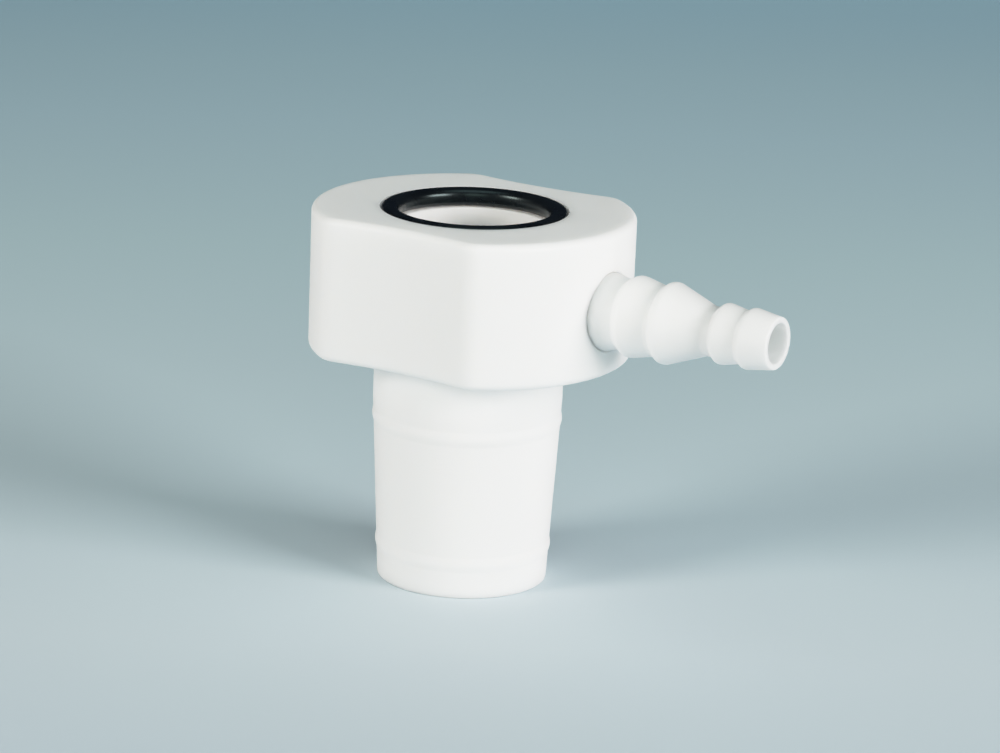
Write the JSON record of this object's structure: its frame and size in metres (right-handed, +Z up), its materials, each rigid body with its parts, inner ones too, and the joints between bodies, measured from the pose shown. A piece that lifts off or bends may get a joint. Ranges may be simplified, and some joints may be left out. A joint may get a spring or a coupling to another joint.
{
  "type": "vacuum filtration adapter",
  "caption": "White ground-joint adapter that seals a funnel on a black O-ring, with a barbed side nipple for the vacuum hose.",
  "frame": {"origin": "centre of the ground cone's small end, on the plane it stands on", "axes": "+Z up the cone and out of the head's mouth, +X along the hose nipple towards its open end, the two hollowed grip faces look along +Y and -Y"},
  "size_m": [0.0768, 0.0414, 0.0578],
  "materials": {
    "white_fluoropolymer": "satin, slightly translucent, fine turning marks",
    "black_elastomer": "semi-matt"
  },
  "bodies": {
    "adapter": {"adapter_body": "white_fluoropolymer"},
    "seal": {"o_ring": "black_elastomer"},
    "nipple": {"hose_nipple": "white_fluoropolymer"}
  },
  "joints": [
    {"name": "o_ring_lift", "type": "slide", "parent": "adapter", "child": "seal", "axis": [0, 0, 1], "range_m": [0, 0.006]},
    {"name": "nipple_unscrew", "type": "slide", "parent": "adapter", "child": "nipple", "axis": [1, 0, 0], "range_m": [0, 0.013]}
  ]
}
